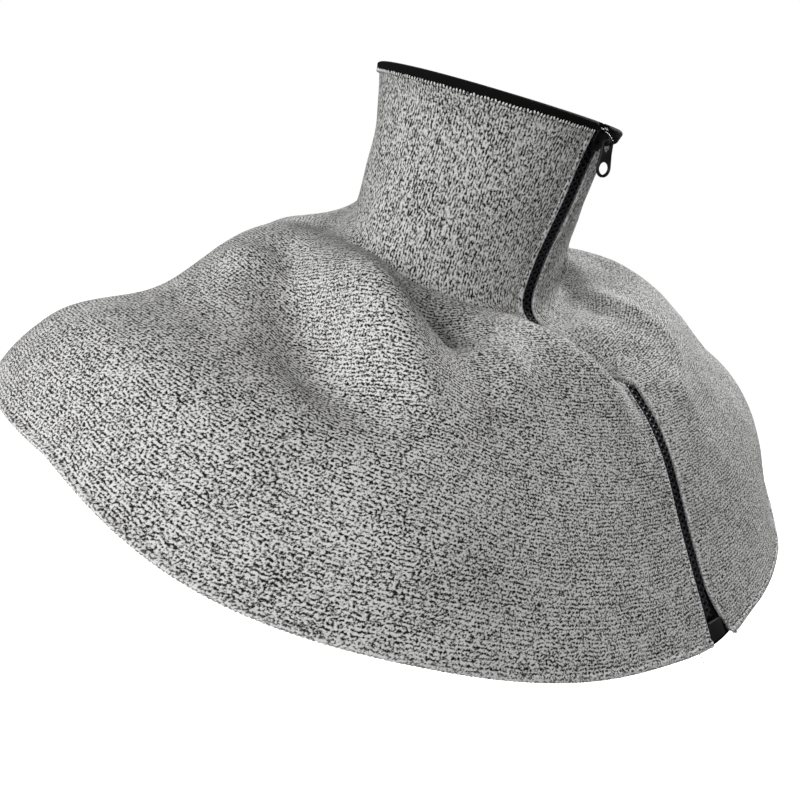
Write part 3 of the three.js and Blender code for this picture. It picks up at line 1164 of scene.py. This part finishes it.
@dataclass
class CollarBinding:
    """Black tape folded over the rim, from one knit edge at the zip round to the other. Sizes
    are in millimetres; step counts sections and loop_tilt is in degrees."""

    form: GuardForm
    columns: int = 260
    thick: float = 1.1
    gap: float = 0.35
    drop: float = 3.3
    sag: float = 0.3
    sag_length: float = 9.0
    bend_steps: int = 11
    bend_rise: float = 1.05
    step: float = 0.25
    end_reach: float = 38.0
    end_drop: float = 4.5
    loop_columns: int = 1600
    loop_pitch: float = 1.75
    loop_half: Triple = (0.62, 0.62, 1.0)
    loop_tilt: float = 60.0
    loop_sway: float = 2.3
    loop_above: float = 0.1
    loop_rise: float = 0.5
    loop_depth: float = 0.75
    black: Colour = (0.0015, 0.0015, 0.0018, 1.0)
    worn: Colour = (0.006, 0.0058, 0.0066, 1.0)

    def _profile(self) -> np.ndarray:
        """Closed outline of the folded tape.

        Returns:
            Points out of the knit, and up from the rim.
        """
        skin = self.gap + self.thick
        outer = self._leaf(skin, skin * self.bend_rise)
        inner = self._leaf(self.gap, self.gap)[::-1]
        return np.array(outer + inner + outer[:1])

    def _leaf(self, out: float, rise: float) -> list[tuple[float, float]]:
        """One face of the folded tape, from its outer border over the rim to its inner one.

        Args:
            out: Distance from the knit's faces.
            rise: Height over the rim.

        Returns:
            Points out of the knit, and up from the rim.
        """
        wall, half, low = self.form.wall, self.form.wall / 2, -self.drop
        bend = np.linspace(0.0, math.pi, self.bend_steps)
        over = [(-half + (half + out) * math.cos(a), rise * math.sin(a)) for a in bend]
        return [
            (out, low), (out, low * 0.5), *over, (-wall - out, low * 0.5), (-wall - out, low),
        ]

    def _rim(self, columns: int) -> tuple[np.ndarray, ...]:
        """Places along the rim, from one knit edge at the zip round to the other.

        Args:
            columns: Steps round the rim.

        Returns:
            Points, directions up and out of the knit, and the length run so far.
        """
        form = self.form
        edge = float(form.angle_at(form.slit_half, np.zeros(1))[0])
        angle = np.linspace(edge, TURN - edge, columns + 1)
        rim = form.points(angle, np.zeros(len(angle)), 0.0)
        below = form.points(angle, np.full(len(angle), self.step), 0.0)
        up = rim - below
        up /= np.linalg.norm(up, axis=1, keepdims=True)
        out = form.outward(angle, np.zeros(len(angle)))
        out -= up * np.sum(up * out, axis=1, keepdims=True)
        out /= np.linalg.norm(out, axis=1, keepdims=True)
        return rim, up, out, run_along(rim)

    def loops(self, material: bpy.types.Material) -> bpy.types.Object:
        """Builds the knit loops that stand up over the binding's lower border.

        Args:
            material: Finish of the yarn.

        Returns:
            The row of loops.
        """
        rim, up, out, run = self._rim(self.loop_columns)
        stations = np.arange(self.loop_pitch, run[-1] - self.end_reach, self.loop_pitch)
        face = self.gap + self.thick * self.loop_depth
        spots = []
        for pick in np.searchsorted(run, stations):
            z, y = Vector(up[pick]), Vector(out[pick])
            uneven = noise.noise(Vector(rim[pick]) / self.loop_sway)
            tilt = Matrix.Rotation(math.radians(self.loop_tilt * uneven), 4, "Y")
            below = self.drop - self.loop_above - self.loop_rise * uneven
            spot = Vector(rim[pick]) + y * face - z * below
            spots.append(Matrix.Translation(spot * MM) @ turned(y.cross(z), y, z) @ tilt)
        piece = add_piece("rim_loops", repeated(bead(self.loop_half), spots), material)
        dress(piece, Body.GUARD, Slot.KNIT)
        return piece

    def build(self) -> bpy.types.Object:
        """Builds the binding.

        Returns:
            The binding piece.
        """
        rim, up, out, run = self._rim(self.columns)
        profile = self._profile()
        girth = run_along(profile)
        uneven = np.array([noise.noise(Vector(p) / self.sag_length) for p in rim]) * self.sag
        near_end = smooth_step(1.0 - (run[-1] - run) / self.end_reach)
        hang = uneven - self.end_drop * near_end

        def place(column: np.ndarray, row: np.ndarray) -> tuple[np.ndarray, np.ndarray]:
            """Point and weave coordinate of each corner.

            Args:
                column: Steps along the rim.
                row: Steps round the tape.

            Returns:
                Points in millimetres and weave coordinates.
            """
            o = profile[row, 0]
            u = profile[row, 1]
            u = u + np.where(u <= -self.drop, hang[column], 0.0)
            points = rim[column] + out[column] * o[:, None] + up[column] * u[:, None]
            return points, np.stack([run[column], girth[row]], axis=1) * MM

        bm = shaped_grid(self.columns, len(profile) - 1, place)
        close_tube(bm)
        tape = WovenTape("binding_tape", self.black, self.worn)
        piece = add_piece("rim_binding", bm, tape.material())
        dress(piece, Body.GUARD, Slot.BINDING, "collar_binding")
        return piece


@dataclass
class ZipChain:
    """Two tapes, two rows of coil and the end box. Sizes are in millimetres, apart from the rib
    in metres; the tops, the bottoms and box_section are section numbers."""

    form: GuardForm
    top: float = 0.19
    tongue_top: float = -0.04
    tongue_half: float = 4.4
    bottom: float = 6.98
    coil_bottom: float = 6.8
    tape_inner: float = 0.3
    tape_outer: float = 13.0
    tape_depth: float = 2.8
    tape_thick: float = 0.7
    tape_columns: int = 10
    tongue_columns: int = 3
    tongue_gap: float = 0.6
    tape_rows: int = 150
    tape_corner: float = 0.2
    tape_rib: float = 0.0009
    line_steps: int = 1200
    pitch: float = 1.7
    tooth_inner: float = 0.25
    tooth_outer: float = 3.15
    tooth_deep: float = 1.5
    tooth_wide: float = 0.85
    tooth_sunk: float = 1.1
    tooth_lap: float = 1.12
    tooth_round: float = 0.3
    chevron: float = 27.0
    coil_spare: float = 0.5
    box_section: float = 6.93
    box_wide: float = 14.0
    box_aside: float = 3.1
    box_tall: float = 9.0
    box_front: float = 0.5
    box_back: float = 2.4
    box_round: float = 0.7
    box_colour: Colour = (0.008, 0.0082, 0.0082, 1.0)
    box_rubbed: Colour = (0.015, 0.0155, 0.0155, 1.0)

    def _line(self, top: float, bottom: float) -> tuple[np.ndarray, np.ndarray]:
        """Line down the middle of the zip.

        Args:
            top: Section number where it starts.
            bottom: Section number where it ends.

        Returns:
            Section numbers, and the length run to each.
        """
        section = np.linspace(top, bottom, self.line_steps)
        line = self.form.points(np.zeros(len(section)), section, 0.0)
        return section, run_along(line)

    def tape(self, side: Side) -> bpy.types.Object:
        """Builds the woven tape behind one knit edge.

        Args:
            side: Which half of the zip.

        Returns:
            The tape.
        """
        form = self.form
        narrow = self.tongue_columns
        inner = np.linspace(self.tape_inner, self.tongue_half, narrow + 1)
        first = self.tongue_half + self.tongue_gap
        outer = np.linspace(first, self.tape_outer, self.tape_columns - narrow)
        across = np.concatenate([inner, outer])
        top = np.where(across <= self.tongue_half, self.tongue_top, self.top)
        if side is Side.LEFT:
            across, top = across[::-1], top[::-1]
        drop = np.linspace(0.0, 1.0, self.tape_rows + 1)
        level, run = self._line(self.tongue_top, self.bottom)

        def place(column: np.ndarray, row: np.ndarray) -> tuple[np.ndarray, np.ndarray]:
            """Point and weave coordinate of each corner.

            Args:
                column: Steps across the tape.
                row: Steps down the tape.

            Returns:
                Points in millimetres and weave coordinates.
            """
            section = top[column] + (self.bottom - top[column]) * drop[row]
            share = (across[column] - self.tape_inner) / (self.tape_outer - self.tape_inner)
            reach = across[column] + (form.slit_edge(side, section) - form.slit_half) * share
            angle = form.angle_at(side.value * reach, section)
            points = form.points(angle, form.cornered(angle % TURN, section), -self.tape_depth)
            below_rim = np.interp(section, level, run)
            return points, np.stack([below_rim, across[column]], axis=1) * MM

        bm = shaped_grid(self.tape_columns, self.tape_rows, place)
        name = f"zip_tape_{side.name.lower()}"
        weave = WovenTape(f"{name}_weave", rib=self.tape_rib)
        piece = add_piece(f"woven_{name}", bm, weave.material())
        thicken(piece, self.tape_thick, self.tape_corner)
        dress(piece, Body.GUARD, Slot.TAPE, name)
        return piece

    def coil(self, side: Side, material: bpy.types.Material) -> bpy.types.Object:
        """Builds one row of coil turns, slanted to and fro so that the two rows cross.

        Args:
            side: Which half of the zip.
            material: Finish of the coil.

        Returns:
            The row of turns.
        """
        section, run = self._line(self.top, self.coil_bottom)
        reach = (self.tooth_outer - self.tooth_inner) * self.tooth_lap
        middle = (self.tooth_outer + self.tooth_inner) / 2
        size = Matrix.Diagonal((reach * MM, self.tooth_wide * MM, self.tooth_deep * MM, 1.0))
        tooth = bmesh.new()
        bmesh.ops.create_cube(tooth, size=1.0, matrix=size)
        round_edges(tooth, self.tooth_round * MM, segments=1)
        spot = Matrix.Translation(Vector((-side.value * middle, 0.0, -self.tooth_sunk)) * MM)
        slant = math.radians(self.chevron * side.value)
        slants = [Matrix.Rotation(slant * sign, 4, "Z") for sign in (1, -1)]
        stations = np.arange(self.pitch / 2, run[-1] - self.coil_spare, self.pitch)
        frames = [self.form.zip_frame(float(at)) for at in np.interp(stations, run, section)]
        spots = [frame @ spot @ slants[i % 2] for i, frame in enumerate(frames)]
        half = side.name.lower()
        piece = add_piece(f"coil_{half}", repeated(tooth, spots), material)
        dress(piece, Body.GUARD, Slot.COIL, f"zip_teeth_{half}")
        return piece

    def end_box(self) -> bpy.types.Object:
        """Builds the block that ends the zip at the hem.

        Returns:
            The end box.
        """
        bm = bmesh.new()
        deep = self.box_front + self.box_back
        out = (self.box_front - self.box_back) / 2
        middle = Matrix.Translation(Vector((self.box_aside, 0, out)) * MM)
        shape = Matrix.Diagonal((self.box_wide * MM, self.box_tall * MM, deep * MM, 1.0))
        frame = self.form.zip_frame(self.box_section)
        bmesh.ops.create_cube(bm, size=1.0, matrix=frame @ middle @ shape)
        round_edges(bm, self.box_round * MM, segments=4)
        grey = Enamel(
            "box_enamel", self.box_colour, self.box_rubbed, roughness=0.6, specular=0.15
        )
        piece = add_piece("end_box", bm, grey.material())
        dress(piece, Body.GUARD, Slot.METAL, "zip_end_box")
        return piece


@dataclass
class SliderAndPull:
    """Slider at the top of the zip, and the pull that hangs on its arch. Sizes are in
    millimetres; section is the slider's place on the zip."""

    form: GuardForm
    section: float = 0.22
    long: float = 11.5
    top_half: float = 4.6
    foot_half: float = 3.2
    plate_low: float = 0.8
    plate_high: float = 2.2
    flange_inner: float = 3.5
    flange_outer: float = 4.6
    flange_low: float = -1.6
    flange_long: float = 5.76
    flange_along: float = 1.15
    arch_along: float = 1.4
    arch_half: float = 2.5
    arch_rise: float = 6.1
    arch_wire: float = 1.1
    arch_wide: float = 1.7
    hinge_along: float = 1.4
    hinge_out: float = 6.5
    hinge_yaw: float = 16.0
    pull_bar: float = 0.7
    pull_thick: float = 1.4
    pull_top_half: float = 3.6
    window_half: float = 2.2
    window_foot: float = 5.0
    ring_centre: float = 13.2
    ring_half_wide: float = 4.5
    ring_half_tall: float = 4.5
    hole_half_wide: float = 3.2
    hole_half_tall: float = 3.0
    edge_round: float = 0.35
    edge_steps: int = 2
    weld: float = 1e-4
    plate_cut: float = 1.4
    plate_notch: float = 1.2
    plate_waist: float = 0.2
    flange_lap: float = 0.4
    arch_sunk: float = 0.5
    arch_sides: int = 12
    arch_steps: int = 20
    pull_cut: float = 0.6
    pull_swell: float = 0.1
    window_cut: float = 1.6
    window_foot_half: float = 0.9
    ring_steps: int = 25
    hole_steps: int = 40
    black: Colour = (0.0016, 0.0016, 0.0018, 1.0)
    dull: Colour = (0.005, 0.005, 0.0055, 1.0)

    def build(self) -> None:
        """Builds the slider in black enamel and the pull in a greyer one."""
        black = Enamel("slider_enamel", self.black, self.dull, roughness=0.4, specular=0.2)
        self._slider(black.material())
        self._pull(Enamel("pull_enamel").material())

    def _slider(self, enamel: bpy.types.Material) -> None:
        """Builds the shield plate, its flanges and the arch.

        Args:
            enamel: Finish of the slider.
        """
        half, wide = self.long / 2, self.top_half
        cut, notch, waist = self.plate_cut, self.plate_notch, -half * self.plate_waist
        corners = [
            (-self.foot_half, -half), (self.foot_half, -half), (wide, waist), (wide, half - cut),
            (wide - cut, half), (notch, half), (0.0, half - notch), (-notch, half),
            (cut - wide, half), (-wide, half - cut), (-wide, waist),
        ]
        bm = bmesh.new()
        outline = [bm.verts.new((x, y, self.plate_low)) for x, y in corners]
        plate = bm.faces.new(outline)
        raised = bmesh.ops.extrude_face_region(bm, geom=[plate])
        tops = [item for item in raised["geom"] if isinstance(item, bmesh.types.BMVert)]
        bmesh.ops.translate(bm, verts=tops, vec=(0, 0, self.plate_high - self.plate_low))
        flange_high = self.plate_low + self.flange_lap
        flange_tall = flange_high - self.flange_low
        flange_wide = self.flange_outer - self.flange_inner
        aside = (self.flange_inner + self.flange_outer) / 2
        shape = Matrix.Diagonal((flange_wide, self.flange_long, flange_tall, 1.0))
        for sign in (-1, 1):
            middle = (sign * aside, self.flange_along, (flange_high + self.flange_low) / 2)
            bmesh.ops.create_cube(bm, size=1.0, matrix=Matrix.Translation(middle) @ shape)
        bmesh.ops.recalc_face_normals(bm, faces=bm.faces[:])
        round_edges(bm, self.edge_round, segments=3)
        self._arch(bm)
        matrix = self.form.zip_frame(self.section) @ Matrix.Scale(MM, 4)
        bmesh.ops.transform(bm, matrix=matrix, verts=bm.verts[:])
        piece = add_piece("slider", bm, enamel)
        dress(piece, Body.GUARD, Slot.METAL, "zip_slider")

    def _arch(self, bm: bmesh.types.BMesh) -> None:
        """Adds the arch over the plate, a rounded strap turned through half a circle.

        Args:
            bm: Slider in its own frame, in millimetres.
        """
        wide, wire = self.arch_wide / 2, self.arch_wire / 2
        reach = self.arch_half + wire
        plate = set(bm.verts)
        ring = [
            bm.verts.new((wide * math.cos(a), reach + wire * math.sin(a), 0.0))
            for a in np.linspace(0.0, TURN, self.arch_sides, endpoint=False)
        ]
        section = bm.faces.new(ring)
        bmesh.ops.spin(
            bm, geom=[section, *section.edges, *section.verts], cent=(0, 0, 0), axis=(1, 0, 0),
            angle=math.pi, steps=self.arch_steps,
        )
        strap = [vert for vert in bm.verts if vert not in plate]
        taller = (self.arch_rise + self.arch_wire) / (reach + wire)
        stretch = Matrix.Diagonal((1.0, 1.0, taller, 1.0))
        lift = Matrix.Translation((0.0, self.arch_along, self.plate_high - self.arch_sunk))
        bmesh.ops.transform(bm, matrix=lift @ stretch, verts=strap)
        faces = {face for vert in strap for face in vert.link_faces}
        bmesh.ops.recalc_face_normals(bm, faces=list(faces))

    def _pull_loops(self) -> list[list[tuple[float, float]]]:
        """Flat shape of the pull.

        Returns:
            Outline, window and hole, in millimetres from the hinge.
        """
        ring, cut, bar = -self.ring_centre, self.pull_cut, self.pull_bar
        top, side, foot = self.pull_top_half, self.ring_half_wide, -self.window_foot
        waist, swell = foot - self.window_cut, top + self.pull_swell
        bend = np.linspace(0.0, -math.pi, self.ring_steps)
        outline = [
            (-top, bar - cut), (-top + cut, bar), (top - cut, bar), (top, bar - cut),
            (swell, waist), (side, ring + cut),
            *((side * math.cos(a), ring + self.ring_half_tall * math.sin(a)) for a in bend),
            (-side, ring + cut), (-swell, waist),
        ]
        half, narrow = self.window_half, self.window_foot_half
        window = [
            (-half, -bar), (-half, foot + self.window_cut), (-narrow, foot), (narrow, foot),
            (half, foot + self.window_cut), (half, -bar),
        ]
        hole = [
            (self.hole_half_wide * math.cos(a), ring + self.hole_half_tall * math.sin(a))
            for a in np.linspace(0.0, TURN, self.hole_steps, endpoint=False)
        ]
        return [outline, window, hole]

    def _pull(self, enamel: bpy.types.Material) -> None:
        """Builds the hanging pull from a flat outline with its window and its hole.

        Args:
            enamel: Finish of the pull.
        """
        flat = bpy.data.curves.new("pull_outline", "CURVE")
        flat.dimensions = "2D"
        flat.fill_mode = "BOTH"
        flat.extrude = self.pull_thick / 2 - self.edge_round
        flat.bevel_depth = self.edge_round
        flat.bevel_resolution = self.edge_steps
        flat.offset = -self.edge_round
        for loop in self._pull_loops():
            spline = flat.splines.new("POLY")
            spline.points.add(len(loop) - 1)
            spline.use_cyclic_u = True
            for point, (x, y) in zip(spline.points, loop):
                point.co = (x, y, 0.0, 1.0)
        holder = linked("pull_outline", flat)
        final = holder.evaluated_get(bpy.context.evaluated_depsgraph_get())
        solid = bpy.data.meshes.new_from_object(final)
        bpy.data.objects.remove(holder)
        bm = bmesh.new()
        bm.from_mesh(solid)
        bpy.data.meshes.remove(solid)
        bmesh.ops.remove_doubles(bm, verts=bm.verts[:], dist=self.weld)
        bmesh.ops.recalc_face_normals(bm, faces=bm.faces[:])
        on_slider = Vector((0, self.hinge_along * MM, self.hinge_out * MM))
        hinge = self.form.zip_frame(self.section) @ on_slider
        yaw = Matrix.Rotation(-math.radians(self.hinge_yaw), 4, "Z")
        upright = Matrix.Rotation(math.pi / 2, 4, "X")
        matrix = Matrix.Translation(hinge) @ yaw @ upright @ Matrix.Scale(MM, 4)
        bmesh.ops.transform(bm, matrix=matrix, verts=bm.verts[:])
        piece = add_piece("pull", bm, enamel)
        dress(piece, Body.PULL, Slot.METAL, "zip_pull")


@dataclass(frozen=True)
class PhotoView:
    """Camera at the photograph's place, in millimetres and pixels of an 800 pixel frame."""

    azimuth: float = -50.849
    elevation: float = 2.92
    distance: float = 541.394
    aim_right: float = -17.663
    aim_up: float = -107.118
    roll: float = 7.188
    focal: float = 922.949
    frame: float = 800.0
    sensor: float = 36.0
    clip_start: float = 0.01

    def place(self) -> None:
        """Adds the camera and makes it the scene's."""
        az, el, roll = (math.radians(v) for v in (self.azimuth, self.elevation, self.roll))
        back = Vector((math.sin(az) * math.cos(el), -math.cos(az) * math.cos(el), math.sin(el)))
        eye = back * self.distance
        aim = Vector((math.cos(az), math.sin(az), 0)) * self.aim_right + UP * self.aim_up
        ahead = (aim - eye).normalized()
        right = ahead.cross(UP).normalized()
        up = right.cross(ahead)
        x = right * math.cos(roll) + up * math.sin(roll)
        y = up * math.cos(roll) - right * math.sin(roll)
        lens = bpy.data.cameras.new("photo_camera")
        lens.sensor_width = self.sensor
        lens.lens = self.focal / self.frame * self.sensor
        lens.clip_start = self.clip_start
        camera = linked("photo_camera", lens)
        matrix = turned(x, y, -ahead)
        matrix.translation = eye * MM
        camera.matrix_world = matrix
        bpy.context.scene.camera = camera


@dataclass(frozen=True)
class SoftLight:
    """One large soft lamp aimed at the guard."""

    name: str
    spot: Triple
    size: float
    power: float

    def place(self, aim: Vector) -> None:
        """Adds the lamp.

        Args:
            aim: Point that it faces.
        """
        lamp = bpy.data.lights.new(self.name, "AREA")
        lamp.shape = "DISK"
        lamp.size = self.size
        lamp.energy = self.power
        holder = linked(self.name, lamp)
        holder.location = self.spot
        facing = (aim - Vector(self.spot)).to_track_quat("-Z", "Y")
        holder.rotation_euler = facing.to_euler()


@dataclass
class Studio:
    """Pale floor, white surroundings and soft lamps."""

    floor_z: float = -0.55
    floor_half: float = 4.0
    floor_grain: float = 3.0
    floor_dark: Colour = (0.90, 0.90, 0.90, 1.0)
    floor_light: Colour = (0.93, 0.93, 0.93, 1.0)
    ambient: float = 0.1
    aim: Triple = (0, -0.05, -0.05)
    lights: tuple[SoftLight, ...] = (
        SoftLight("front_lamp", (-1.59, -0.17, 0.53), 0.6, 17.8),
        SoftLight("side_lamp", (-1.44, 0.81, 0.25), 0.6, 9.3),
        SoftLight("far_lamp", (1.45, 0.18, 0.80), 0.6, 36.0),
        SoftLight("low_lamp", (-0.32, -1.70, 0.25), 0.6, 7.4),
    )

    def build(self) -> None:
        """Builds floor, surroundings and lamps."""
        scene = bpy.context.scene
        scene.view_settings.view_transform = "Standard"
        scene.view_settings.look = "None"
        kit = ShaderKit("white_room", world=True)
        white, soft = (
            kit.node("ShaderNodeBackground", None, {"Color": (1, 1, 1, 1), "Strength": strength})
            for strength in (1.0, self.ambient)
        )
        seen = kit.node("ShaderNodeLightPath", output="Is Camera Ray")
        room = kit.node("ShaderNodeMixShader", None, {0: seen, 1: soft, 2: white})
        scene.world = kit.close("ShaderNodeOutputWorld", room)
        self._floor()
        for light in self.lights:
            light.place(Vector(self.aim))

    def _floor(self) -> None:
        """Builds the pale floor."""
        bm = bmesh.new()
        level = Matrix.Translation((0, 0, self.floor_z))
        bmesh.ops.create_grid(
            bm, x_segments=8, y_segments=8, size=self.floor_half, matrix=level
        )
        kit = ShaderKit("pale_floor")
        dust = kit.grain(kit.place(), self.floor_grain, 2.0)
        colour = kit.mix(dust, self.floor_dark, self.floor_light)
        material = kit.finish(
            Base_Color=colour, Roughness=0.9, Emission_Color=(1, 1, 1, 1), Emission_Strength=1.0
        )
        floor = add_piece("floor", bm, material)
        floor.visible_diffuse = False
        floor.visible_glossy = False


def main() -> None:
    """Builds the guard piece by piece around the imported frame."""
    logging.basicConfig(level=logging.INFO, format="%(name)s %(message)s")
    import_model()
    form = GuardForm()
    PhotoView().place()
    Studio().build()

    body = KnitBody(form)
    knit = body.build()
    yarn = LoopYarn().material()
    hem = body.hem_loops(yarn)
    binding = CollarBinding(form)
    binding.build()
    rim = binding.loops(yarn)
    chain = ZipChain(form)
    coil = CoilPlastic().material()
    for side in Side:
        chain.tape(side)
        chain.coil(side, coil)
    chain.end_box()
    SliderAndPull(form).build()


if __name__ == "__main__":
    main()
